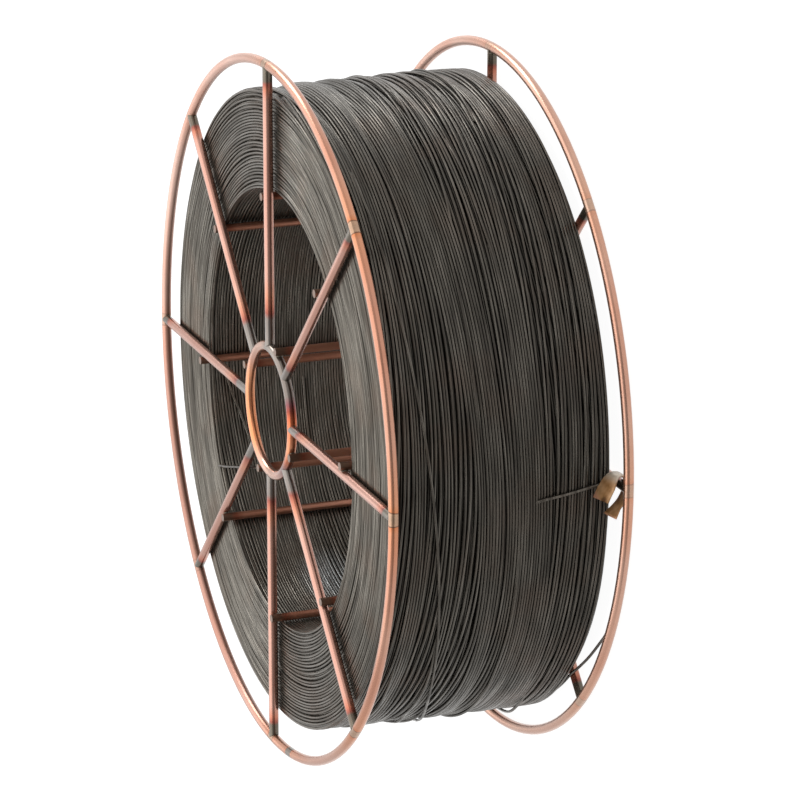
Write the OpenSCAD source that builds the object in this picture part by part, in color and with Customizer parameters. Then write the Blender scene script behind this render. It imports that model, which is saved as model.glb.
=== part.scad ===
// Wire basket spool of welding wire, lying on its lower flange. The spool's
// axis is Z, and the origin is on it, halfway between the two flanges.
// Angles run about Z from +X towards +Y.

/* [Basket] */
// Outside diameter of the two rims
rim_d = 300; // [280:1:320]
// Thickness of the rim wire
rim_wire = 4.2; // [3.6:0.1:5]
// Height of the basket over its two flanges
basket_h = 103; // [90:1:110]
// Number of spokes in each flange
spokes = 8; // [6:1:10]
// Thickness of the spoke wire
spoke_wire = 4.1; // [3:0.1:4.6]

/* [Hub] */
// Bore through the two hub rings
hub_bore = 50.8; // [48:0.2:56]
// Thickness of the hub ring wire
hub_wire = 4.2; // [3:0.1:5]
// Number of bars that tie the hub rings together
hub_bars = 4; // [2:1:4]

/* [Barrel] */
// Diameter of the circle on which the barrel bars stand
barrel_d = 183.2; // [150:0.2:200]
// Thickness of the barrel bars and hub bars
bar_wire = 3.4; // [2.8:0.1:4.2]

/* [Coil] */
// Thickness of the welding wire
wire_d = 1.2; // [0.8:0.1:2.4]
// Height of the rims above the coil's two edges
rim_rise = 14; // [13:0.5:30]
// How far the coil swells at its middle, on the radius
coil_crown = 1; // [0:0.1:4]
// Radius of the coil's rounded edges
coil_round = 2; // [1:0.5:8]
// Number of bands into which the outer turns have gathered
bands = 7; // [5:1:9]
// Depth of the furrows between the bands
furrow = 0.8; // [0.2:0.1:1.2]
// Spacing of the turns that show on the coil's ends
turn_pitch = 1.45; // [1:0.05:2.4]
// Depth of the grooves between those turns
groove = 0.5; // [0.2:0.1:0.8]

/* [Free end of the wire] */
// Length of the free end over the coil, along the spool
end_run = 28; // [10:1:40]
// How far it climbs round the spool on that way
end_climb = 4.2; // [0:0.2:8]
// Distance of its last bend from the spoke
end_bend = 6; // [5:0.5:8]

/* [Clip] */
// Thickness of the clip's strip
clip_t = 0.8; // [0.6:0.1:1.4]
// Length of the leg beside the coil
clip_leg = 8.5; // [3:0.5:10]
// Length of the leg on the outboard side
clip_tail = 11; // [4:0.5:14]

/* [Seats] */
// Gap left at each weld
weld_gap = 0.1; // [0.05:0.05:0.3]
// Clearance round the coil and its free end
coil_gap = 0.3; // [0.2:0.1:1]

/* [Hidden] */
$fn = 96;
copper = [0.80, 0.55, 0.42];
bare_steel = [0.36, 0.34, 0.32];
clip_brown = [0.50, 0.36, 0.22];

side_z = basket_h / 2;
rim_r = rim_d / 2 - rim_wire / 2;
rim_z = side_z - rim_wire / 2;
hub_r = hub_bore / 2 + hub_wire / 2;
hub_z = side_z - hub_wire / 2;
spoke_z = side_z - spoke_wire / 2;
bar_r = barrel_d / 2;
bar_offset = spoke_wire / 2 + bar_wire / 2 + weld_gap;
hub_bar_r = hub_r + hub_wire / 2 + bar_wire / 2 + weld_gap;

coil_z = side_z - spoke_wire - coil_gap;
coil_bore_r = bar_r + bar_wire / 2 + coil_gap;
coil_r = rim_d / 2 - rim_rise;
turns = floor((coil_r - coil_round - coil_bore_r) / turn_pitch);
edge_step = 15;
band_z = coil_z - coil_round;
furrow_places = [-0.42, -0.3, -0.14, 0, 0.14, 0.3, 0.42];

clip_angle = -90;
end_r = coil_r + wire_d;
tip_r = spoke_wire / 2 + wire_d / 2 + coil_gap;
tip_angle = 70;

// The fold touches the spoke's outboard face and clears the wire over the spoke
clip_seat = spoke_wire / 2 + weld_gap;
clip_over = spoke_wire / 2 + wire_d + 2 * coil_gap;
clip_fold_r = (pow(clip_over, 2) + pow(clip_seat, 2)) / (2 * clip_seat);
clip_arc = [-38, 148];
clip_steps = 16;
clip_z = spoke_z + clip_seat - clip_fold_r;
clip_r = end_r + wire_d / 2 + coil_gap;
clip_reach = clip_fold_r + clip_tail;
clip_w = sqrt(pow(rim_r - rim_wire / 2 - weld_gap, 2) - pow(clip_reach, 2)) - clip_r;

function numbered(name, n) = [for (i = [1:n]) str(name, i)];

// A ring of round wire about the spool's axis
module ring(z, r, wire) {
    translate([0, 0, z])
        rotate_extrude()
            translate([r, 0])
                circle(d = wire);
}

module rim(side) {
    color(copper)
        ring(side * rim_z, rim_r, rim_wire);
}

module hub_ring(side) {
    color(copper)
        ring(side * hub_z, hub_r, hub_wire);
}

// A spoke, coped at both ends to sit on its hub ring and its rim
module spoke(side, angle) {
    color(copper)
        difference() {
            rotate([0, 0, angle])
                translate([hub_r, 0, side * spoke_z])
                    rotate([0, 90, 0])
                        cylinder(d = spoke_wire, h = rim_r - hub_r);
            ring(side * hub_z, hub_r, hub_wire + 2 * weld_gap);
            ring(side * rim_z, rim_r, rim_wire + 2 * weld_gap);
        }
}

// A straight wire from flange to flange, offset sideways from a radius
module cross_bar(r, angle, offset) {
    color(copper)
        rotate([0, 0, angle])
            translate([r, offset, -side_z])
                cylinder(d = bar_wire, h = basket_h);
}

// The turns on the coil's end: a groove and a crest for each of them
function end_points() = [
    for (i = [0:turns - 1], half = [0, 1])
        [coil_bore_r + (i + half / 2) * turn_pitch, coil_z - (half == 0 ? groove : 0)]
];

// The coil's rounded edge
function edge_points() = [
    for (a = [0:edge_step:90])
        [coil_r - coil_round * (1 - sin(a)), coil_z - coil_round * (1 - cos(a))]
];

// The coil's outside, which swells towards its middle
function crown_r(z) = coil_r + coil_crown * (1 - pow(z / coil_z, 2));

// The furrows between the bands, each through points at the same parts of a band
function furrow_points() = [
    for (i = [1:bands - 1], place = furrow_places)
        let (z = band_z * (1 - 2 * (i + place) / bands))
            [crown_r(z) - furrow * (1 - sin(180 * abs(place))), z]
];

module coil_section() {
    half = concat(end_points(), edge_points());
    last = len(half) - 1;
    lower = [for (i = [last:-1:0]) [half[i][0], -half[i][1]]];
    polygon(concat(half, furrow_points(), lower));
}

// A straight run of the welding wire, ending in a bend a little thicker than it
module wire_run(from, to) {
    run = to - from;
    translate(from)
        rotate([0, acos(run[2] / norm(run)), atan2(run[1], run[0])])
            cylinder(d = wire_d, h = norm(run));
    translate(to)
        sphere(d = wire_d + weld_gap);
}

// The free end: out of the last layer, down over the coil and into the clip's
// fold, over the spoke of the lower flange
module wire_end() {
    bend_z = end_bend - spoke_z;
    start_z = bend_z + end_run;
    start = [crown_r(start_z), -end_climb, start_z];
    bend = [end_r, 0, bend_z];
    tip = [clip_r + wire_d, tip_r * sin(tip_angle), tip_r * cos(tip_angle) - spoke_z];
    rotate([0, 0, clip_angle]) {
        wire_run(start, bend);
        wire_run(bend, tip);
    }
}

module wire_coil() {
    color(bare_steel)
        union() {
            rotate_extrude()
                coil_section();
            wire_end();
        }
}

// Points of an arc about the origin
function arc(r, from, to, steps) = [
    for (i = [0:steps])
        let (a = from + (to - from) * i / steps) r * [cos(a), sin(a)]
];

// The end of a straight leg that leaves the circle r at an angle
function leg_end(r, angle, length) =
    r * [cos(angle), sin(angle)] + length * [-sin(angle), cos(angle)];

// A strip folded round the spoke beside the rim, over the end of the wire
module end_clip() {
    inside = clip_fold_r;
    outside = inside + clip_t;
    color(clip_brown)
        rotate([0, 0, clip_angle])
            translate([clip_r, 0, -clip_z])
                rotate([0, 90, 0])
                    linear_extrude(clip_w)
                        polygon(concat(
                            [leg_end(inside, clip_arc[0], -clip_tail)],
                            [leg_end(outside, clip_arc[0], -clip_tail)],
                            arc(outside, clip_arc[0], clip_arc[1], clip_steps),
                            [leg_end(outside, clip_arc[1], clip_leg)],
                            [leg_end(inside, clip_arc[1], clip_leg)],
                            arc(inside, clip_arc[1], clip_arc[0], clip_steps)
                        ));
}

rim(1);  // upper_rim
rim(-1);  // lower_rim
hub_ring(1);  // upper_hub_ring
hub_ring(-1);  // lower_hub_ring
wire_coil();
end_clip();
for (i = [1:spokes]) {
    angle = (i - 1) * 360 / spokes;
    spoke(1, angle);
    spoke(-1, angle);
    cross_bar(bar_r, angle, bar_offset);
}
for (i = [1:hub_bars]) {
    angle = (round((i - 1) * spokes / hub_bars) + 1.5) * 360 / spokes;
    cross_bar(hub_bar_r, angle, 0);
}
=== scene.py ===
"""The looks of a wire basket spool of welding wire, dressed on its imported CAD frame.

Everything is in metres, in the row frame: the spool's axis is Z and it lies on its
lower flange. Angles run about Z from +X towards +Y.
"""

import math

import bpy
import numpy as np
from mathutils import Matrix, Vector


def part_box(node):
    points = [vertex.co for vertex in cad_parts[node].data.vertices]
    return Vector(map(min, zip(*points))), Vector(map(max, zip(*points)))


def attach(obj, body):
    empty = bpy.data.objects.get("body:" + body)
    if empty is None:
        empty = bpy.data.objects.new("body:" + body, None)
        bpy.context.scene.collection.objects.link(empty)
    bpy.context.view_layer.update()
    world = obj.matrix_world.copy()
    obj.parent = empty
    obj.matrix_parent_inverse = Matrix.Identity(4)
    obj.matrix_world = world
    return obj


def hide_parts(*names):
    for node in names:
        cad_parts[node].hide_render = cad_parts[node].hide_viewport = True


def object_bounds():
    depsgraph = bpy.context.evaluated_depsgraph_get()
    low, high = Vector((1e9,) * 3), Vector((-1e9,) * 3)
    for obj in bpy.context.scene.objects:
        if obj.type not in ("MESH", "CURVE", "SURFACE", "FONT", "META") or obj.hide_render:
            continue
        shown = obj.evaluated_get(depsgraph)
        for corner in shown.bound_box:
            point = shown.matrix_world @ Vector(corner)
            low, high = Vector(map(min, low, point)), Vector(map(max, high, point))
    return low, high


MM = 0.001
TAU = 2 * math.pi

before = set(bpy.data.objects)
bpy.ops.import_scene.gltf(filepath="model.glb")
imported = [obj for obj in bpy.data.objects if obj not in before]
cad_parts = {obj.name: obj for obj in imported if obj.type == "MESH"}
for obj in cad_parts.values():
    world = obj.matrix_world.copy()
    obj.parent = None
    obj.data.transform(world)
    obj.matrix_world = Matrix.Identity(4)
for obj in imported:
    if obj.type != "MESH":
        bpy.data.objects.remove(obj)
cad_box = [list(corner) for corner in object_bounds()]

# ---------------------------------------------------------------- sizes

WIRE = 1.2 * MM  # thickness of the welding wire
COIL_GAP = 0.3 * MM  # clearance between the coil and the basket
EDGE_ROUND = 1.3 * MM  # radius of the coil's rounded edges, as the turns form them
FOOT_DROP = 0.25 * MM  # how far the turns pass the solid's lower end, towards the spokes
CROWN = 1 * MM  # how far the coil swells at its middle
BANDS = 7  # bands into which the outer turns have gathered
FURROW = 0.8 * MM  # depth of the furrows between them
TOP_FURROWS = 1.4  # how many times that depth they gain near +X

# Where the coil isn't quite round: how far its radius is off, at which angle in degrees, and
# how far round that goes. It is fuller at its foot, and slacker in its upper half.
FOOT_SWELLS = ((1.9 * MM, 228, 32), (0.8 * MM, 296, 44), (1.4 * MM, 247, 14), (0.4 * MM, 14, 30))
UPPER_DIPS = ((1.1 * MM, 185, 35), (0.6 * MM, 15, 35))
FOOT_REACH = 22 * MM  # how far up the coil the swells go
HALF_BLEND = 8 * MM  # over how much height the dips set in

# Mean spacing of the turns of each layer
OUTER_PITCH, UNDER_PITCH = 1.55 * MM, 1.26 * MM  # on the outside, and beneath that
END_PITCH, END_UNDER_PITCH = 1.42 * MM, 1.3 * MM  # on the two ends, and beneath them
BORE_PITCH = 1.27 * MM
CLOSEST = 1.02 * WIRE  # least spacing of two turns of a layer
SEAM = 3  # steps on either side over which a winding is smoothed, so that its turns run on
DIVE = 0.05  # part of a turn over which a winding's two ends go under
DIVE_DEPTH = 1.6 * WIRE  # and how deep they go
LOOSE_STRANDS = 16  # slack turns on the outside, beside the placed ones
CLIP_THICK = 0.8 * MM  # thickness of the clip's strip
CLIP_FLARE = 2.6 * MM  # how much wider its two ends are

SPOKES = sum(name.startswith("upper_spoke_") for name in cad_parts)
HUB_BARS = sum(name.startswith("hub_bar_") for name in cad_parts)

rim_low, rim_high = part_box("upper_rim")
rim_wire = rim_high.z - rim_low.z
rim_r = rim_high.x - rim_wire / 2
hub_low, hub_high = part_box("upper_hub_ring")
hub_wire = hub_high.z - hub_low.z
hub_r = hub_high.x - hub_wire / 2
hub_z = hub_high.z - hub_wire / 2
bar_low, bar_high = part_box("barrel_bar_1")
bar_wire = bar_high.x - bar_low.x
bar_r = bar_high.x - bar_wire / 2
spoke_low, spoke_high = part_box("upper_spoke_1")
spoke_wire = spoke_high.z - spoke_low.z
spoke_z = spoke_high.z - spoke_wire / 2
coil_low, coil_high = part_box("wire_coil")
clip_low, clip_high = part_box("end_clip")

coil_top = coil_high.z
coil_foot = -coil_top - FOOT_DROP
coil_bore = bar_high.x + COIL_GAP
coil_edge = coil_high.x - CROWN
band_z = coil_top - EDGE_ROUND

# ---------------------------------------------------------------- meshes


def mesh_object(name, vertices, faces, material):
    """A mesh piece made from plain arrays, which rides on the spool"""
    mesh = bpy.data.meshes.new(name)
    mesh.from_pydata(np.asarray(vertices).tolist(), [], faces)
    mesh.polygons.foreach_set("use_smooth", [True] * len(mesh.polygons))
    mesh.materials.append(material)
    piece = bpy.data.objects.new(name, mesh)
    bpy.context.scene.collection.objects.link(piece)
    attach(piece, "root")
    return piece


def tube(points, radius, sides, across=(0, 0, 1)):
    """Vertices and faces of a round wire along the points, with closed ends.
    across is a direction that the wire never follows."""
    points = np.asarray(points, float)
    ahead = np.gradient(points, axis=0)
    ahead /= np.linalg.norm(ahead, axis=1)[:, None]
    across = np.asarray(across, float)
    first = across - ahead * (ahead @ across)[:, None]
    first /= np.linalg.norm(first, axis=1)[:, None]
    second = np.cross(ahead, first)
    turn = np.arange(sides) * TAU / sides
    ring = np.cos(turn)[:, None] * first[:, None] + np.sin(turn)[:, None] * second[:, None]
    vertices = (points[:, None] + radius * ring).reshape(-1, 3)
    return vertices, sweep_faces(len(points), sides)


def sweep_faces(count, sides):
    """Faces of a closed section of so many sides, repeated count times, with flat ends"""
    here = np.arange(count - 1)[:, None] * sides
    side = np.arange(sides)[None]
    after = (side + 1) % sides
    quads = np.stack([here + side, here + after, here + sides + after, here + sides + side], -1)
    last = (count - 1) * sides
    faces = quads.reshape(-1, 4).tolist()
    faces.append(list(range(sides))[::-1])
    faces.append([last + i for i in range(sides)])
    return faces


def ring_of(section, steps):
    """A closed section of (radius, height) points, turned about the spool's axis"""
    section = np.asarray(section, float)
    angle = np.arange(steps)[:, None] * TAU / steps
    radius, height = section[:, 0], np.broadcast_to(section[:, 1], (steps, len(section)))
    vertices = np.stack([radius * np.cos(angle), radius * np.sin(angle), height], -1)
    row = np.arange(steps)[:, None] * len(section)
    next_row = (row + len(section)) % (steps * len(section))
    side = np.arange(len(section))[None]
    after = (side + 1) % len(section)
    quads = np.stack([row + side, next_row + side, next_row + after, row + after], -1)
    return vertices.reshape(-1, 3), quads.reshape(-1, 4).tolist()


def lump(centre, axes, seed, rows=6, sides=9, rough=0.16):
    """A small uneven bead of weld metal. axes holds its three half lengths as vectors."""
    rng = np.random.default_rng(seed)
    tilt = np.linspace(0, math.pi, rows + 1)[1:-1]
    turn = np.arange(sides) * TAU / sides
    ball = [np.stack([np.sin(t) * np.cos(turn), np.sin(t) * np.sin(turn),
                      np.full(sides, np.cos(t))], -1) for t in tilt]
    ball = np.concatenate(ball + [[[0, 0, 1], [0, 0, -1]]])
    ball *= 1 + rng.uniform(-rough, rough, len(ball))[:, None]
    faces = [[r * sides + i, (r + 1) * sides + i, (r + 1) * sides + (i + 1) % sides,
              r * sides + (i + 1) % sides] for r in range(rows - 2) for i in range(sides)]
    top, bottom, last = (rows - 1) * sides, (rows - 1) * sides + 1, (rows - 2) * sides
    faces += [[top, i, (i + 1) % sides] for i in range(sides)]
    faces += [[bottom, last + (i + 1) % sides, last + i] for i in range(sides)]
    return np.asarray(centre) + ball @ np.asarray(axes, float), faces


def joined(parts):
    """Several (vertices, faces) as one"""
    vertices, faces, start = [], [], 0
    for part_vertices, part_faces in parts:
        vertices.append(part_vertices)
        faces += [[start + i for i in face] for face in part_faces]
        start += len(part_vertices)
    return np.concatenate(vertices), faces


def spline(stops, count):
    """A smooth curve through the given rows of numbers"""
    stops = np.asarray(stops, float)
    ends = np.concatenate([[2 * stops[0] - stops[1]], stops, [2 * stops[-1] - stops[-2]]])
    place = np.linspace(0, len(stops) - 1, count)
    leg = np.minimum(place.astype(int), len(stops) - 2)
    t = (place - leg)[:, None]
    a, b, c, d = (ends[leg + k] for k in range(4))
    return b + t / 2 * (c - a + t * (2 * a - 5 * b + 4 * c - d + t * (3 * (b - c) + d - a)))


def on_spool(radius, angle, height):
    """Points given as radius, angle and height"""
    return np.stack([radius * np.cos(angle), radius * np.sin(angle), height], -1)


# ---------------------------------------------------------------- winding


class Waves:
    """A smooth random drift of a wound wire, as a sum of count waves. rounds is the least and
    the most that a wave repeats in a whole turn, and change how far it shifts from turn to
    turn, in radians."""

    def __init__(self, seed, size, rounds, change, count=7):
        rng = np.random.default_rng(seed)
        self.rounds = rng.integers(rounds[0], rounds[1] + 1, count)
        self.change = rng.uniform(change[0], change[1], count) * rng.choice([-1, 1], count)
        self.phase = rng.uniform(0, TAU, count)
        self.size = size * rng.uniform(0.5, 1, count) * math.sqrt(2 / count)

    def __call__(self, turn, angle):
        waves = [
            size * np.sin(rounds * angle + change * turn + phase)
            for size, rounds, change, phase in zip(
                self.size, self.rounds, self.change, self.phase
            )
        ]
        return np.sum(waves, axis=0)


def near(angle, degrees, width):
    """1 where the angle is at the given place, falling smoothly to 0 beside it"""
    off = np.degrees(np.angle(np.exp(1j * (angle - math.radians(degrees)))))
    return np.exp(-(off / width) ** 2)


def furrows(height, angle):
    """How deep the outer turns sink between the bands, which wander a little"""
    place = BANDS * (1 - height / band_z) / 2
    place = place + 0.16 * np.sin(2 * angle + 1 + place) + 0.1 * np.sin(5 * angle + 2 * place)
    depth = 1 - np.abs(np.sin(math.pi * place))
    inside = (place > 0.5) & (place < BANDS - 0.5)
    uneven = 0.9 + 0.25 * np.sin(3 * angle + 2 * place) + TOP_FURROWS * near(angle, 5, 40)
    return FURROW * depth * inside * uneven


def lean(height, angle):
    """Where the coil isn't quite round: fuller and slacker places of its outside"""
    foot = np.exp(-((height + coil_top) / FOOT_REACH) ** 2)
    upper = 1 / (1 + np.exp(-height / HALF_BLEND))
    return (foot * sum(size * near(angle, at, width) for size, at, width in FOOT_SWELLS)
            - upper * sum(size * near(angle, at, width) for size, at, width in UPPER_DIPS))


def surface(height, angle):
    """The coil's outside radius"""
    crown = CROWN * (1 - (height / coil_top) ** 2)
    return coil_edge + crown - furrows(height, angle) + lean(height, angle)


def spread(places, limit):
    """Moves the turns apart to at least their closest spacing, within 0..limit"""
    for _ in range(80):
        lack = np.clip(CLOSEST - np.diff(places, axis=0), 0, None) / 2
        places[1:] += lack
        places[:-1] -= lack
        places = np.clip(places, 0, limit)
    return places


def wind(outline, pitch, steps, drifts, dips, depth=0.0, shaped=False):
    """Centre points of one layer of the winding, turn after turn along an outline.
    The outline is given as radius and height, with the coil on its right hand. drifts move
    the turns along it and dips sink them. depth is how far beneath it the layer lies, and
    shaped gives it the outside's furrows and unevenness."""
    outline = np.asarray(outline, float)
    legs = np.diff(outline, axis=0)
    lengths = np.linalg.norm(legs, axis=1)
    along = np.concatenate([[0], np.cumsum(lengths)])
    turns = int(along[-1] / pitch)
    angle = np.arange(steps) * TAU / steps
    turn = np.arange(turns)[:, None] + angle / TAU
    place = turn * along[-1] / turns + sum(d(turn, angle) for d in drifts)
    place = spread(place, along[-1])
    # the wire runs on smoothly from each turn to the next
    run = np.pad(place.reshape(-1), 2 * SEAM, mode="edge")
    mean = np.full(2 * SEAM + 1, 1 / (2 * SEAM + 1))
    for _ in range(2):
        run = np.convolve(run, mean, "valid")
    place = run.reshape(place.shape)
    inwards = np.stack([legs[:, 1], -legs[:, 0]], -1) / lengths[:, None]
    inwards = np.concatenate([inwards[:1], (inwards[1:] + inwards[:-1]) / 2, inwards[-1:]])
    sunk = WIRE / 2 + depth + sum(np.clip(d(turn, angle), 0, None) for d in dips)
    # and its two ends dive under their neighbours
    to_end = np.minimum(turn, turn[-1, -1] - turn) / DIVE
    sunk = sunk + DIVE_DEPTH * np.clip(1 - to_end, 0, None) ** 2
    radius, height = (
        np.interp(place, along, outline[:, k]) + sunk * np.interp(place, along, inwards[:, k])
        for k in (0, 1)
    )
    if shaped:
        radius += lean(height, angle) - furrows(height, angle)
    return on_spool(radius, angle, height).reshape(-1, 3)


def arc_points(centre, radius, start, stop, count):
    """Points of an arc of the outline, from one angle to another"""
    turn = np.linspace(start, stop, count)
    return [(centre[0] + radius * math.cos(a), centre[1] + radius * math.sin(a)) for a in turn]


def outside_outline():
    """Round the upper edge, down the crowned outside and round the lower edge"""
    inner = coil_edge - EDGE_ROUND
    lower_z = coil_foot + EDGE_ROUND
    upper = arc_points((inner, band_z), EDGE_ROUND, math.pi / 2, 0, 7)
    middle = [
        (coil_edge + CROWN * (1 - (z / coil_top) ** 2), z)
        for z in np.linspace(band_z, lower_z, 17)[1:-1]
    ]
    lower = arc_points((inner, lower_z), EDGE_ROUND, 0, -math.pi / 2, 7)
    return upper + middle + lower


def strand(stops, count=60, sides=6, inside=False):
    """A loose turn over the outside, or inside the bore. Each stop is an angle in degrees,
    a height in mm and how far the wire's middle stands over the surface, in mm."""
    path = spline(stops, count)
    angle, height = np.radians(path[:, 0]), path[:, 1] * MM
    over = path[:, 2] * MM
    radius = coil_bore - over if inside else surface(height, angle) + over
    return tube(on_spool(radius, angle, height), WIRE / 2, sides)


def coil_piece(name, mesh, material):
    """A piece of the welding wire, which stands for the coil's solid"""
    piece = mesh_object(name, *mesh, material)
    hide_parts("wire_coil")
    return piece


# ---------------------------------------------------------------- materials


class Look:
    """A Principled material and short calls that build its nodes"""

    def __init__(self, name, metallic):
        self.material = bpy.data.materials.new(name)
        self.material.use_nodes = True
        self.tree = self.material.node_tree
        self.shader = self.tree.nodes["Principled BSDF"]
        self.shader.inputs["Metallic"].default_value = metallic
        self.place = self.node("ShaderNodeTexCoord").outputs["Object"]
        x, y, z = self.split(self.place)
        self.radius = self.math("SQRT", self.math("ADD", self.math("MULTIPLY", x, x),
                                                  self.math("MULTIPLY", y, y)))
        self.angle = self.math("ARCTAN2", y, x)
        self.height = z

    def node(self, kind, **values):
        node = self.tree.nodes.new(kind)
        for key, value in values.items():
            setattr(node, key, value)
        return node

    def put(self, socket, value):
        if isinstance(value, bpy.types.NodeSocket):
            self.tree.links.new(value, socket)
        else:
            socket.default_value = value

    def set(self, name, value):
        self.put(self.shader.inputs[name], value)

    def split(self, vector):
        node = self.node("ShaderNodeSeparateXYZ")
        self.put(node.inputs[0], vector)
        return node.outputs

    def join(self, x, y, z):
        node = self.node("ShaderNodeCombineXYZ")
        for socket, value in zip(node.inputs, (x, y, z)):
            self.put(socket, value)
        return node.outputs[0]

    def math(self, operation, a, b=0.0):
        node = self.node("ShaderNodeMath", operation=operation)
        self.put(node.inputs[0], a)
        self.put(node.inputs[1], b)
        return node.outputs[0]

    def noise(self, vector, scale, detail):
        node = self.node("ShaderNodeTexNoise")
        self.put(node.inputs["Vector"], vector)
        node.inputs["Scale"].default_value = scale
        node.inputs["Detail"].default_value = detail
        return node.outputs["Fac"]

    def range(self, value, low, high, to_low=0.0, to_high=1.0):
        node = self.node("ShaderNodeMapRange")
        for socket, number in zip(node.inputs, (value, low, high, to_low, to_high)):
            self.put(socket, number)
        return node.outputs[0]

    def ramp(self, factor, stops):
        node = self.node("ShaderNodeValToRGB")
        self.put(node.inputs[0], factor)
        ramp = node.color_ramp
        for at, colour in stops[1:-1]:
            ramp.elements.new(at).color = (*colour, 1)
        for element, (at, colour) in ((ramp.elements[0], stops[0]), (ramp.elements[-1], stops[-1])):
            element.position = at
            element.color = (*colour, 1)
        return node.outputs[0]

    def scale_ramp(self, value, stops):
        """A ramp whose stops are given in the value's own unit"""
        low, high = stops[0][0], stops[-1][0]
        return self.ramp(self.range(value, low, high),
                         [((at - low) / (high - low), colour) for at, colour in stops])

    def mix(self, factor, a, b, blend="MIX"):
        node = self.node("ShaderNodeMix", data_type="RGBA", blend_type=blend)
        for key, value in ((0, factor), (6, a), (7, b)):
            if isinstance(value, tuple):
                value = (*value, 1)
            self.put(node.inputs[key], value)
        return node.outputs[2]

    def bump(self, height, distance, strength):
        node = self.node("ShaderNodeBump")
        node.inputs["Strength"].default_value = strength
        node.inputs["Distance"].default_value = distance
        self.put(node.inputs["Height"], height)
        self.set("Normal", node.outputs[0])


def srgb(*levels):
    """A colour given as 0..255 display levels"""
    return tuple(((x / 255 + 0.055) / 1.055) ** 2.4 if x > 10 else x / 255 / 12.92 for x in levels)


BURNT = srgb(132, 126, 120)
SOOT = srgb(98, 90, 78)
DARK_RED = srgb(146, 80, 66)
ORANGE = srgb(206, 143, 106)
COPPER = srgb(202, 157, 140)
SPOKE_COPPER = srgb(192, 147, 131)
PALE = srgb(202, 164, 144)
PLUM = srgb(124, 74, 78)

# Where a highlight is painted on the strands in the bore, which are glossier there too: the middle
# of that place, and how far it goes to either side, round the bore and in height
GLINT_ANGLE, GLINT_Z = math.radians(163), 12 * MM
GLINT_LENGTH, GLINT_HEIGHT = 17 * MM, 13 * MM
BUTT_WELD = math.radians(-170.8)  # where the upper rim's two ends meet
# the rims' far look is painted shade and painted light on their far half, with a rougher surface
# there
FAR = 60 * MM  # how far along +Y, away from the photo's camera, the rims' far look is complete


def coil_look(name, level, glint_and_polish=0.0):
    """Dark drawn steel wire: each strand its own grey, with brown oxide. level scales its colours
    as painted light and shade, lighter or darker by where the copy lies, and the last argument
    paints a pale highlight on the bore's strands at one place, where they are glossier too."""
    look = Look(name, metallic=0.75)
    strand_place = look.join(look.math("MULTIPLY", look.angle, 6 * MM), look.radius, look.height)
    strands = look.noise(strand_place, 800, 2)
    patches = look.noise(look.place, 40, 4)
    fine = look.noise(look.place, 1900, 3)
    tones = (66, 62, 56), (84, 80, 73), (108, 103, 95)
    grey = [srgb(*(level * x for x in tone)) for tone in tones]
    colour = look.ramp(strands, list(zip((0.32, 0.5, 0.7), grey)))
    brown = srgb(*(level * x for x in (92, 78, 67)))
    colour = look.mix(look.range(patches, 0.48, 0.7, 0, 0.5), colour, brown)
    colour = look.mix(look.range(fine, 0.35, 0.75, 0, 0.15), colour, grey[0])
    roughness = look.range(strands, 0.35, 0.65, 0.46, 0.2)
    if glint_and_polish:
        off = look.math("ABSOLUTE", look.math("SUBTRACT", look.angle, GLINT_ANGLE))
        off = look.math("MULTIPLY", off, bar_r / GLINT_LENGTH)
        over = look.math("SUBTRACT", look.height, GLINT_Z)
        over = look.math("MULTIPLY", over, 1 / GLINT_HEIGHT)
        off = look.math("SQRT", look.math("ADD", look.math("MULTIPLY", off, off),
                                          look.math("MULTIPLY", over, over)))
        # painted highlight: the strands pale towards light grey there, and their roughness drops
        painted_glint = look.math("MULTIPLY", look.range(off, 0.3, 1.3, glint_and_polish, 0), strands)
        colour = look.mix(painted_glint, colour, srgb(172, 178, 180))
        roughness = look.math("SUBTRACT", roughness, look.math("MULTIPLY", painted_glint, 0.1))
    look.set("Base Color", colour)
    look.set("Roughness", roughness)
    look.bump(fine, 0.03 * MM, 0.5)
    return look.material


def copper_look(name, tint, roughness=0.22, matter=0.0):
    """Copper-washed bright wire. tint gives the look's own colours along the wire, and matter
    is how much rougher it is on its far half."""
    look = Look(name, metallic=0.8)
    fine = look.noise(look.place, 900, 3)
    patches = look.noise(look.place, 45, 3)
    colour = look.mix(look.range(patches, 0.35, 0.7, 0, 0.5), tint(look), srgb(240, 222, 214),
                      "MULTIPLY")
    colour = look.mix(look.range(fine, 0.56, 0.78, 0, 0.16), colour, srgb(168, 112, 88))
    look.set("Base Color", colour)
    rough = look.range(fine, 0.3, 0.7, roughness - 0.02, roughness + 0.05)
    if matter:
        _, y, _ = look.split(look.place)
        rough = look.math("ADD", rough, look.range(y, 0, FAR, 0, matter))
    look.set("Roughness", rough)
    look.shader.inputs["Coat Weight"].default_value = 0.25
    look.shader.inputs["Coat Roughness"].default_value = 0.22
    look.bump(look.noise(look.place, 160, 1), 0.03 * MM, 0.15)
    return look.material


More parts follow.
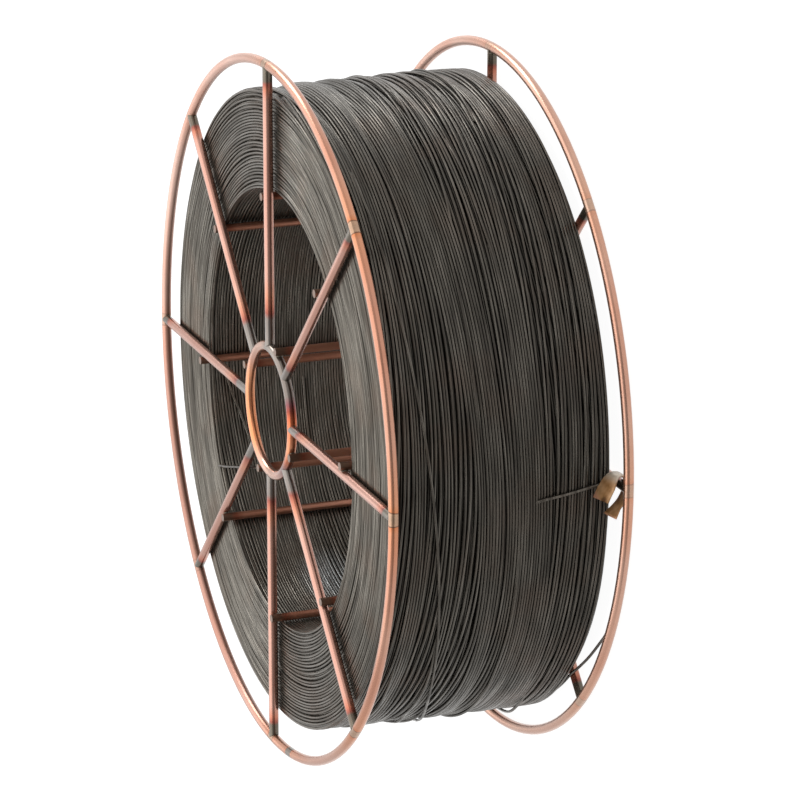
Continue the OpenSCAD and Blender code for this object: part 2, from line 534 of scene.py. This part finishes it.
def rim_tint(look):
    """Bare tan bands with thin dark edges at the welds, and a warm tint beside them"""
    spoke_off = look.math("PINGPONG", look.angle, TAU / SPOKES / 2)
    butt_off = look.math("ABSOLUTE", look.math("SUBTRACT", look.angle, BUTT_WELD))
    butt_off = look.math("ADD", butt_off, look.math("LESS_THAN", look.height, 0.0))
    off = look.math("MULTIPLY", look.math("MINIMUM", spoke_off, butt_off), look.radius)
    uneven = look.noise(look.place, 240, 2)
    off = look.math("ADD", off, look.range(uneven, 0.3, 0.7, -0.4 * MM, 0.4 * MM))
    band = look.scale_ramp(off, [
        (0, srgb(168, 140, 116)), (2.3 * MM, srgb(178, 146, 120)), (2.7 * MM, srgb(96, 66, 48)),
        (3.1 * MM, srgb(196, 126, 84)), (6 * MM, srgb(198, 141, 109)),
        (30 * MM, srgb(190, 145, 124))])
    # the heat tints are fainter on the far half of the rims
    x, y, _ = look.split(look.place)
    band = look.mix(look.math("MULTIPLY", look.range(y, -50 * MM, 40 * MM, 0, 0.7),
                              look.range(off, 2.8 * MM, 3.2 * MM)), band, COPPER)
    # and on the far half, painted shade makes it duller towards -X, the bottom of the view, and
    # painted light makes it paler towards +X, its top
    far_painted_light = look.range(y, 0, FAR, 0, 0.7)
    band = look.mix(look.math("MULTIPLY", far_painted_light, look.range(x, 30 * MM, -60 * MM)), band,
                    srgb(166, 130, 118))
    band = look.mix(look.math("MULTIPLY", far_painted_light, look.range(x, -30 * MM, 50 * MM)), band,
                    srgb(222, 193, 180))
    butt = look.math("LESS_THAN", look.math("MULTIPLY", butt_off, look.radius), 2.6 * MM)
    band = look.mix(butt, band, srgb(120, 112, 102))
    # and the lower rim is paler
    band = look.mix(look.range(look.height, 0, -10 * MM, 0, 0.4), band, srgb(216, 182, 164))
    slow = look.noise(look.join(look.angle, look.height, 0.0), 2.2, 2)
    return look.mix(look.range(slow, 0.4, 0.62, 0, 1), band,
                    look.mix(1.0, band, srgb(255, 240, 232), "MULTIPLY"))


def spoke_tint(look):
    """Burnt grey ends, then dark red and orange rings, then clean copper"""
    uneven = look.noise(look.join(look.angle, look.height, 0.0), 3, 1)
    slip = look.range(uneven, 0.35, 0.65, -3 * MM, 3 * MM)
    radius = look.math("ADD", look.radius, slip)
    start, stop = hub_r + hub_wire / 2, rim_r - rim_wire / 2
    inner = look.scale_ramp(radius, [
        (start, BURNT), (start + 9 * MM, srgb(124, 116, 110)), (start + 11.5 * MM, DARK_RED),
        (start + 14 * MM, srgb(176, 108, 86)), (start + 19 * MM, srgb(198, 138, 112)),
        (start + 27 * MM, SPOKE_COPPER)])
    outer = look.scale_ramp(look.radius, [
        (stop - 13 * MM, SPOKE_COPPER), (stop - 8 * MM, srgb(186, 118, 94)),
        (stop - 5.8 * MM, DARK_RED), (stop - 4.4 * MM, SOOT), (stop, srgb(104, 98, 86))])
    return look.mix(look.range(look.radius, stop - 14 * MM, stop - 13 * MM), inner, outer)


def hub_tint(look):
    """Heat colours round the ring: bare grey by the first weld, orange beside it"""
    return look.scale_ramp(look.angle, [
        (-math.pi, PALE), (-2.7, COPPER), (-2.35, srgb(136, 112, 112)),
        (-2.15, srgb(180, 110, 84)), (-1.9, ORANGE), (-1.45, srgb(208, 112, 70)),
        (-1.3, srgb(146, 66, 48)), (-1.2, PLUM), (-1.08, srgb(120, 112, 106)),
        (0.02, srgb(138, 130, 122)), (0.25, PALE), (0.8, COPPER), (1.2, ORANGE),
        (2.3, srgb(226, 148, 100)), (2.8, COPPER), (math.pi, PALE)])


def bar_tint(look):
    """Brown copper, burnt at both ends"""
    off = look.math("ABSOLUTE", look.height)
    return look.scale_ramp(off, [
        (0, srgb(196, 140, 116)), (spoke_z - 8 * MM, srgb(204, 144, 118)),
        (spoke_z - 4 * MM, srgb(164, 100, 78)), (spoke_z - 1.6 * MM, srgb(130, 98, 80)),
        (spoke_z + 2 * MM, srgb(124, 100, 84))])


def weld_look():
    """Dark greenish grey weld metal"""
    look = Look("weld_flash", metallic=0.85)
    spots = look.noise(look.place, 600, 3)
    look.set("Base Color", look.ramp(spots, [(0.3, srgb(62, 58, 50)), (0.5, srgb(94, 89, 78)),
                                             (0.7, srgb(128, 120, 106))]))
    look.set("Roughness", look.range(spots, 0.3, 0.7, 0.6, 0.4))
    look.bump(spots, 0.15 * MM, 0.8)
    return look.material


def clip_look():
    """Brown lacquered steel strip, with a painted highlight where it bends"""
    look = Look("clip_strip", metallic=0.25)
    x, _, z = look.split(look.place)
    # painted highlight: the fold's top, which faces the light, paled towards white
    crown = look.range(x, 1.5 * MM, 5.4 * MM)
    crown = look.math("MULTIPLY", crown, crown)
    stains = look.noise(look.place, 190, 4)
    colour = look.ramp(stains, [(0.3, srgb(104, 70, 40)), (0.45, srgb(170, 124, 78)),
                                (0.68, srgb(212, 170, 126))])
    colour = look.mix(look.math("MULTIPLY", crown, 0.95), colour, srgb(250, 242, 226))
    low = look.range(z, coil_low.z - 3 * MM, coil_low.z + 1 * MM, 0.6, 0.0)
    colour = look.mix(low, colour, srgb(92, 70, 58))
    # the two cut ends have kept the strip's own pinkish copper colour
    cut = look.math("MAXIMUM", look.range(z, clip_low.z + 12.6 * MM, clip_low.z + 13.4 * MM),
                    look.range(x, -11.3 * MM, -12 * MM))
    look.set("Base Color", look.mix(cut, colour, srgb(206, 150, 120)))
    look.set("Roughness", look.range(stains, 0.3, 0.7, 0.45, 0.28))
    look.bump(stains, 0.1 * MM, 0.4)
    return look.material


# copies of one steel that differ by painted light and shade: the ends and the bore are painted
# lighter, the turns beneath darker
steel = coil_look("drawn_steel_wire", 0.96)
end_steel = coil_look("drawn_steel_wire_ends", 1.12)
bore_steel = coil_look("drawn_steel_wire_bore", 1.18, glint_and_polish=1.0)
deep_steel = coil_look("drawn_steel_wire_beneath", 0.84)
# painted lighter than the turns in front of it, against the shade that falls between them, where
# little light gets
bright_steel = coil_look("drawn_steel_wire_behind", 1.3)
rim_copper = copper_look("copper_rim_wire", rim_tint, matter=0.22)
spoke_copper = copper_look("copper_spoke_wire", spoke_tint)
hub_copper = copper_look("copper_hub_wire", hub_tint)
bar_copper = copper_look("copper_bar_wire", bar_tint, roughness=0.36)
clip_brown = clip_look()

# ---------------------------------------------------------------- the coil

drifts = [Waves(1, 2.2 * MM, (1, 2), (0.04, 0.2)), Waves(2, 1.1 * MM, (1, 4), (0.3, 1.0), 9),
          Waves(3, 0.36 * MM, (1, 5), (1.4, 3.0), 12)]
dips = [Waves(4, 0.13 * MM, (1, 5), (0.3, 2.5), 12)]
outside = wind(outside_outline(), OUTER_PITCH, steps=200, drifts=drifts, dips=dips, shaped=True)
# in two pieces, as one would be near the limit of triangles
half = len(outside) // 2
coil_piece("coil_outer_turns_upper", tube(outside[:half + 1], WIRE / 2, 6), steel)
coil_piece("coil_outer_turns_lower", tube(outside[half:], WIRE / 2, 6), steel)

drifts = [Waves(11, 1.9 * MM, (1, 3), (0.04, 0.2)), Waves(12, 0.25 * MM, (2, 6), (0.5, 3), 9)]
dips = [Waves(13, 0.2 * MM, (1, 5), (0.3, 2.5), 9)]
under = wind(outside_outline(), UNDER_PITCH, steps=128, drifts=drifts, dips=dips,
             depth=CLOSEST, shaped=True)
coil_piece("coil_under_turns", tube(under, WIRE / 2, 5), deep_steel)

for side, place in ((1, "upper"), (-1, "lower")):
    # the outline keeps the coil on its right hand, so it runs inwards on the lower end
    end_z = coil_top if side == 1 else coil_foot
    ends = [(coil_bore, end_z), (coil_edge - EDGE_ROUND + 0.4 * WIRE, end_z)][::side]
    drifts = [Waves(20 + side, 0.6 * MM, (1, 4), (0.1, 0.5)),
              Waves(23 + side, 0.22 * MM, (2, 7), (0.8, 3), 12)]
    dips = [Waves(26 + side, 0.22 * MM, (1, 6), (0.3, 2.8), 12)]
    face = wind(ends, END_PITCH, steps=150, drifts=drifts, dips=dips)
    drifts = [Waves(30 + side, 0.6 * MM, (1, 4), (0.1, 0.5))]
    dips = [Waves(33 + side, 0.2 * MM, (1, 7), (0.3, 2.8), 9)]
    behind = wind(ends, END_UNDER_PITCH, steps=110, drifts=drifts, dips=dips, depth=0.8 * WIRE)
    coil_piece(f"coil_{place}_end_turns", tube(face, WIRE / 2, 5), end_steel)
    coil_piece(f"coil_{place}_end_under_turns", tube(behind, WIRE / 2, 5), bright_steel)

drifts = [Waves(41, 1.2 * MM, (1, 3), (0.05, 0.25)), Waves(42, 0.15 * MM, (1, 5), (0.5, 3), 9)]
dips = [Waves(43, 0.14 * MM, (1, 5), (0.2, 2.5), 9)]
bore = wind([(coil_bore, -coil_top + WIRE), (coil_bore, coil_top - WIRE)], BORE_PITCH,
            steps=110, drifts=drifts, dips=dips)
coil_piece("coil_bore_turns", tube(bore, WIRE / 2, 5), bore_steel)


def core_section():
    """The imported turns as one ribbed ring, behind one layer of turns in the bore and behind
    two on the outside and the ends"""
    inner, outer = coil_bore + 1.15 * WIRE, coil_edge - 2.8 * WIRE
    end = coil_top - 2.6 * WIRE
    rib = 0.2 * WIRE
    corners = [(inner, -end), (outer, -end), (outer, end), (inner, end), (inner, -end)]
    points = []
    for (r0, z0), (r1, z1) in zip(corners, corners[1:]):
        count = 2 * int(math.hypot(r1 - r0, z1 - z0) / WIRE / 2)
        out = np.array([z1 - z0, r0 - r1]) / math.hypot(r1 - r0, z1 - z0)
        for i in range(count):
            over = rib * (i % 2)
            points.append((r0 + (r1 - r0) * i / count + out[0] * over,
                           z0 + (z1 - z0) * i / count + out[1] * over))
    return points


coil_piece("coil_core", ring_of(core_section(), steps=96), bright_steel)

rng = np.random.default_rng(71)
strands = [
    # the long one that crosses from the lower to the upper half of the outside
    strand([(-172, -2, -1), (-166, -0.5, 0.3), (-150, 8, 0.9), (-132, 16, 0.7), (-100, 26, 0.6),
            (-66, 34, 0.6), (-45, 36.5, 0.4), (-30, 37.5, -0.8)], count=120),
    # small slack loops under the coil
    strand([(-139, 18.5, -0.9), (-145, 18, 0.3), (-151, 17.5, 1.5), (-156, 17, 0.3),
            (-162, 16.5, -0.9)]),
    strand([(-142, -33, -0.9), (-150, -35, 0.5), (-156.5, -37, 1.5), (-162, -38, 0.5),
            (-168, -39, -0.9)]),
    strand([(-118, 20.8, -0.7), (-129, 19.2, 0.5), (-140, 18.6, 0.6), (-160, 17.5, -0.7)]),
]
for _ in range(LOOSE_STRANDS):
    start, height = rng.uniform(0, 360), rng.uniform(-36, 36)
    length, shift = rng.uniform(30, 80), rng.uniform(-4.5, 4.5)
    rise = rng.uniform(0.1, 0.45)
    strands.append(strand([
        (start + length * t, height + shift * t + 0.4 * math.sin(9 * t + start),
         rise if 0.1 < t < 0.9 else -0.9)
        for t in (0, 0.16, 0.4, 0.62, 0.84, 1)], count=44, sides=5))
coil_piece("coil_loose_strands", joined(strands), steel)

# Strands that cross others in the bore: a placed one, then one between each two barrel bars
rng = np.random.default_rng(83)
strands = [strand([(95.5, 40.2, -0.7), (98, 38.9, 0.4), (103.1, 36.8, 0.5), (107.9, 34.3, 0.5),
                   (115, 31.6, 0.5), (121, 29.5, -0.7)], count=44, inside=True)]
for i in range(SPOKES):
    start, height = 360 / SPOKES * i + rng.uniform(7, 13), rng.uniform(-36, 30)
    length, shift = rng.uniform(20, 30), rng.uniform(-7, 7)
    strands.append(strand([
        (start + length * t, height + shift * t, 0.35 if 0.1 < t < 0.9 else -0.8)
        for t in (0, 0.16, 0.5, 0.84, 1)], count=40, sides=5, inside=True))
coil_piece("coil_bore_strands", joined(strands), bore_steel)


def free_end():
    """The free end: out of the last layer, down over the coil and into the clip's fold"""
    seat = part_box("lower_spoke_7")[1].z
    outer = coil_edge + WIRE
    # each stop is a place along X, how far it is past the coil's edge, and a height, in mm
    stops = [(-6.2, -3, -13.5), (-4.2, -0.2, -17), (-2.6, 0.5, -27), (-0.6, 0.3, -39),
             (0.4, 0.3, seat / MM + 4), (2.2, 1.3, seat / MM + 1), (2.8, 2.1, seat / MM - 1.1)]
    points = [(x * MM, -(outer + over * MM), z * MM) for x, over, z in stops]
    return tube(spline(points, 60), WIRE / 2, sides=10, across=(1, 0, 0))


def loose_wire(stops, count, radius=WIRE / 2):
    """A wire off the coil. Each stop is a radius in mm, an angle in degrees and a height in mm."""
    path = spline(stops, count)
    return tube(on_spool(path[:, 0] * MM, np.radians(path[:, 1]), path[:, 2] * MM), radius, 8)


# The inner end, which comes out of the coil's upper end towards the hub under a spoke
inner_end = loose_wire([(104, 119.4, 44.8), (98, 121.2, 46.2), (90, 122.6, 46.7),
                        (70, 127.5, 46.7), (52, 135, 46.7), (41, 144, 47.4),
                        (35, 151, 48.2)], count=60, radius=0.45 * WIRE)

# A slack turn that leaves the coil's lower edge and passes behind the lower rim
slack_turn = loose_wire([(132, 203, -44.6), (135.2, 211, -45.2), (136.6, 218.5, -46.1),
                         (137.4, 225.6, -46.7), (138.8, 229.3, -47.2), (141, 234.3, -48.2),
                         (143, 238.6, -48.9), (145.1, 242.2, -49.3),
                         (145.1, 245, -49.7)], count=70)

coil_piece("wire_free_end", free_end(), steel)
coil_piece("wire_inner_end", inner_end, steel)
coil_piece("wire_slack_turn", slack_turn, steel)

# ---------------------------------------------------------------- the basket

LOOKS = {"rim": rim_copper, "hub_ring": hub_copper, "spoke": spoke_copper, "bar": bar_copper,
         "wire_coil": steel, "end_clip": clip_brown}
for name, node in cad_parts.items():
    for part, look in LOOKS.items():
        if part in name:
            node.data.materials.clear()
            node.data.materials.append(look)


def turned(radial, sideways, up, angle):
    """Three half lengths as vectors, turned to an angle about the spool's axis"""
    cos, sin = math.cos(angle), math.sin(angle)
    return [(radial * cos, radial * sin, 0), (-sideways * sin, sideways * cos, 0), (0, 0, up)]


# Half lengths of the weld beads in mm: along the radius, across it and up
RIM_BEAD, HUB_BEAD = (1.3, 2.3, 1.7), (1.4, 2.2, 1.7)
BAR_BEAD, HUB_BAR_BEAD = (1.5, 0.8, 1.6), (0.9, 1.5, 1.6)


def bead(radius, offset, height, size, angle, seed):
    """A weld bead of the given half lengths, at a radius and offset sideways from it"""
    cos, sin = math.cos(angle), math.sin(angle)
    centre = (radius * cos - offset * sin, radius * sin + offset * cos, height)
    return lump(centre, turned(*(x * MM for x in size), angle), seed)


weld = weld_look()
for side, place in ((1, "upper"), (-1, "lower")):
    beads = []
    for i in range(SPOKES):
        angle = TAU * i / SPOKES
        seed = 100 * (side + 2) + i
        beads += [
            bead(rim_r - rim_wire / 2 - 0.4 * MM, 0, side * spoke_z, RIM_BEAD, angle, seed),
            bead(hub_r + hub_wire / 2 + 0.3 * MM, 0, side * spoke_z, HUB_BEAD, angle, seed + 20),
            bead(bar_r, spoke_wire / 2, side * (spoke_z - 0.3 * MM), BAR_BEAD, angle, seed + 40),
        ]
    for i in range(HUB_BARS):
        low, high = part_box(f"hub_bar_{i + 1}")
        x, y = (low.x + high.x) / 2, (low.y + high.y) / 2
        angle = math.atan2(y, x)
        beads.append(bead(hub_r + hub_wire / 2 + 0.1 * MM, 0, side * hub_z,
                          HUB_BAR_BEAD, angle, 300 + i + 10 * side))
    piece = mesh_object(f"{place}_weld_flash", *joined(beads), weld)

# ---------------------------------------------------------------- the clip


def clip_strip():
    """A strip folded round the spoke. Its path lies in X and Z: the leg on the outboard side,
    the fold, then the leg beside the coil. Its width goes along the radius."""
    # the fold's radius and middle, a little inside the solid's
    fold = clip_high.x - CLIP_THICK / 2 - 0.1 * MM
    centre_z = clip_low.z + CLIP_THICK / 2 + fold + 0.15 * MM
    tail = spline([(-12 * MM, clip_low.z + 9.2 * MM), (-8.4 * MM, clip_low.z + 4.8 * MM),
                   (-4.6 * MM, clip_low.z + 1.7 * MM)], 10)
    turn = np.radians(np.linspace(-118, 62, 22))
    bend = np.stack([fold * np.cos(turn), centre_z + fold * np.sin(turn)], -1)
    leg = spline([(1.2 * MM, clip_low.z + 10.6 * MM), (-1.8 * MM, clip_low.z + 12.2 * MM),
                  (-4.9 * MM, clip_low.z + 13.6 * MM)], 8)
    path = np.concatenate([tail[:-1], bend, leg[1:]])
    for _ in range(3):
        path[1:-1] = (path[:-2] + 2 * path[1:-1] + path[2:]) / 4
    ahead = np.gradient(path, axis=0)
    ahead /= np.linalg.norm(ahead, axis=1)[:, None]
    out = np.stack([ahead[:, 1], -ahead[:, 0]], -1)
    near_end, far_end = -clip_high.y + 0.1 * MM, -clip_low.y
    edge = 0.28 * MM  # how far the strip's four edges are cut off
    # each corner: its side in depth and width, then how far it is cut off in each
    section = [(-1, -1, 0, 1), (-1, -1, 1, 0), (1, -1, -1, 0), (1, -1, 0, 1),
               (1, 1, 0, -1), (1, 1, -1, 0), (-1, 1, 1, 0), (-1, 1, 0, -1)]
    rows = []
    for point, normal in zip(path, out):
        # both legs flare past the rim's inner side, where they stand clear of the rim, and
        # lean outboard there
        clear = min(max((point[1] - clip_low.z - 5 * MM) / (6 * MM), 0), 1)
        half = (far_end + CLIP_FLARE * clear - near_end) / 2
        for depth, width, in_depth, in_width in section:
            x, z = point + normal * (depth * CLIP_THICK / 2 + in_depth * edge
                                     + 0.15 * MM * clear)
            z -= 1.1 * MM * clear * (width + 1)
            rows.append((x, -(near_end + half + width * half + in_width * edge), z))
    return rows, sweep_faces(len(path), len(section))


clip = mesh_object("clip_strip", *clip_strip(), clip_brown)
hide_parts("end_clip")

# ---------------------------------------------------------------- studio

FLOOR = 6.0  # half the floor's length
FLOOR_GAP = 0.2 * MM  # how far it stays under the spool
FLOOR_GLOW = 0.95  # its own light, to the camera and in reflections
FLOOR_SHOWN, FLOOR_LIT = 0.2, 0.8  # its grey there, and in the light that it casts on surfaces
AROUND = 0.42  # the world's light on surfaces
ROOM_SIDE = Vector((-0.1, -1, 0.1))  # where reflections show the dim room
ROOM_DIM, ROOM_PALE = 0.24, 0.92  # the world in reflections, there and elsewhere
ROOM_FULL, ROOM_EDGE = 0.94, 0.5  # cosines of the angles from there up to which it is dim

AIM = Vector((-0.766, -2.998, -7.343)) * MM  # the camera, as fitted to the photo
DISTANCE = 1.639
AZIMUTH, ELEVATION, ROLL = (math.radians(a) for a in (18.461, 19.503, -96.345))
FOCAL_LENGTH, SENSOR_WIDTH = 173.965, 36


def shown_rays(tree):
    """1 for camera, glossy and transmission rays, 0 for the others"""
    path = tree.nodes.new("ShaderNodeLightPath")
    total = path.outputs["Is Camera Ray"]
    for other in ("Is Glossy Ray", "Is Transmission Ray"):
        both = tree.nodes.new("ShaderNodeMath")
        both.operation = "ADD"
        tree.links.new(total, both.inputs[0])
        tree.links.new(path.outputs[other], both.inputs[1])
        total = both.outputs[0]
    return total


def ranged(tree, value, low, high, from_low=0.0, from_high=1.0):
    """A value moved to the range from low to high"""
    node = tree.nodes.new("ShaderNodeMapRange")
    for socket, number in zip(node.inputs[1:], (from_low, from_high, low, high)):
        socket.default_value = number
    tree.links.new(value, node.inputs[0])
    return node.outputs[0]


def pale_floor():
    """White to the camera and in reflections, with a faint shadow of what stands on it"""
    material = bpy.data.materials.new("pale_floor")
    material.use_nodes = True
    tree = material.node_tree
    tree.nodes.clear()
    output = tree.nodes.new("ShaderNodeOutputMaterial")
    add = tree.nodes.new("ShaderNodeAddShader")
    diffuse = tree.nodes.new("ShaderNodeBsdfDiffuse")
    glow = tree.nodes.new("ShaderNodeEmission")
    shown = shown_rays(tree)
    tree.links.new(ranged(tree, shown, FLOOR_LIT, FLOOR_SHOWN), diffuse.inputs["Color"])
    tree.links.new(ranged(tree, shown, 0.0, FLOOR_GLOW), glow.inputs["Strength"])
    tree.links.new(diffuse.outputs[0], add.inputs[0])
    tree.links.new(glow.outputs[0], add.inputs[1])
    tree.links.new(add.outputs[0], output.inputs["Surface"])
    return material


def soft_lamp(name, direction, distance, size, power):
    """A square soft box that faces the spool"""
    lamp = bpy.data.lights.new(name, "AREA")
    lamp.shape = "SQUARE"
    lamp.size = size
    lamp.energy = power
    holder = bpy.data.objects.new(name, lamp)
    direction = Vector(direction).normalized()
    holder.location = direction * distance
    holder.rotation_euler = direction.to_track_quat("Z", "Y").to_euler()
    bpy.context.scene.collection.objects.link(holder)


def studio_world():
    """White behind the spool and in its reflections, but for the dim room on one side"""
    world = bpy.data.worlds.new("studio")
    bpy.context.scene.world = world
    world.use_nodes = True
    tree = world.node_tree
    background = tree.nodes["Background"]
    background.inputs["Color"].default_value = (1, 1, 1, 1)
    path = tree.nodes.new("ShaderNodeLightPath")
    place = tree.nodes.new("ShaderNodeTexCoord")
    dot = tree.nodes.new("ShaderNodeVectorMath")
    dot.operation = "DOT_PRODUCT"
    dot.inputs[1].default_value = ROOM_SIDE.normalized()
    tree.links.new(place.outputs["Generated"], dot.inputs[0])
    room = ranged(tree, dot.outputs["Value"], ROOM_PALE, ROOM_DIM, ROOM_EDGE, ROOM_FULL)
    level = AROUND
    for ray, value in (("Is Glossy Ray", room), ("Is Transmission Ray", 1.0),
                       ("Is Camera Ray", 1.0)):
        choose = tree.nodes.new("ShaderNodeMix")
        for socket, number in ((0, path.outputs[ray]), (2, level), (3, value)):
            if isinstance(number, float):
                choose.inputs[socket].default_value = number
            else:
                tree.links.new(number, choose.inputs[socket])
        level = choose.outputs[0]
    tree.links.new(level, background.inputs["Strength"])


floor_mesh = bpy.data.meshes.new("floor")
floor_mesh.from_pydata([(-FLOOR, -FLOOR, 0), (FLOOR, -FLOOR, 0),
                        (FLOOR, FLOOR, 0), (-FLOOR, FLOOR, 0)], [], [(0, 1, 2, 3)])
floor_mesh.materials.append(pale_floor())
floor = bpy.data.objects.new("floor", floor_mesh)
floor.location.z = cad_box[0][2] - FLOOR_GAP
bpy.context.scene.collection.objects.link(floor)

studio_world()
soft_lamp("overhead", (0.1, 0.25, 1), distance=2.0, size=4.0, power=61)
soft_lamp("side", (0.7, 0.68, 0.25), distance=1.6, size=0.7, power=9)

back = Vector((math.sin(AZIMUTH) * math.cos(ELEVATION), -math.cos(AZIMUTH) * math.cos(ELEVATION),
               math.sin(ELEVATION)))
level_right = Vector((math.cos(AZIMUTH), math.sin(AZIMUTH), 0))
level_up = back.cross(level_right)
right = level_right * math.cos(ROLL) + level_up * math.sin(ROLL)
up = back.cross(right)
lens = bpy.data.cameras.new("camera")
lens.lens = FOCAL_LENGTH
lens.sensor_width = SENSOR_WIDTH
camera = bpy.data.objects.new("camera", lens)
facing = Matrix((right, up, back)).transposed()
camera.matrix_world = Matrix.Translation(AIM + back * DISTANCE) @ facing.to_4x4()
bpy.context.scene.collection.objects.link(camera)
bpy.context.scene.camera = camera

bpy.context.scene.view_settings.view_transform = "Standard"
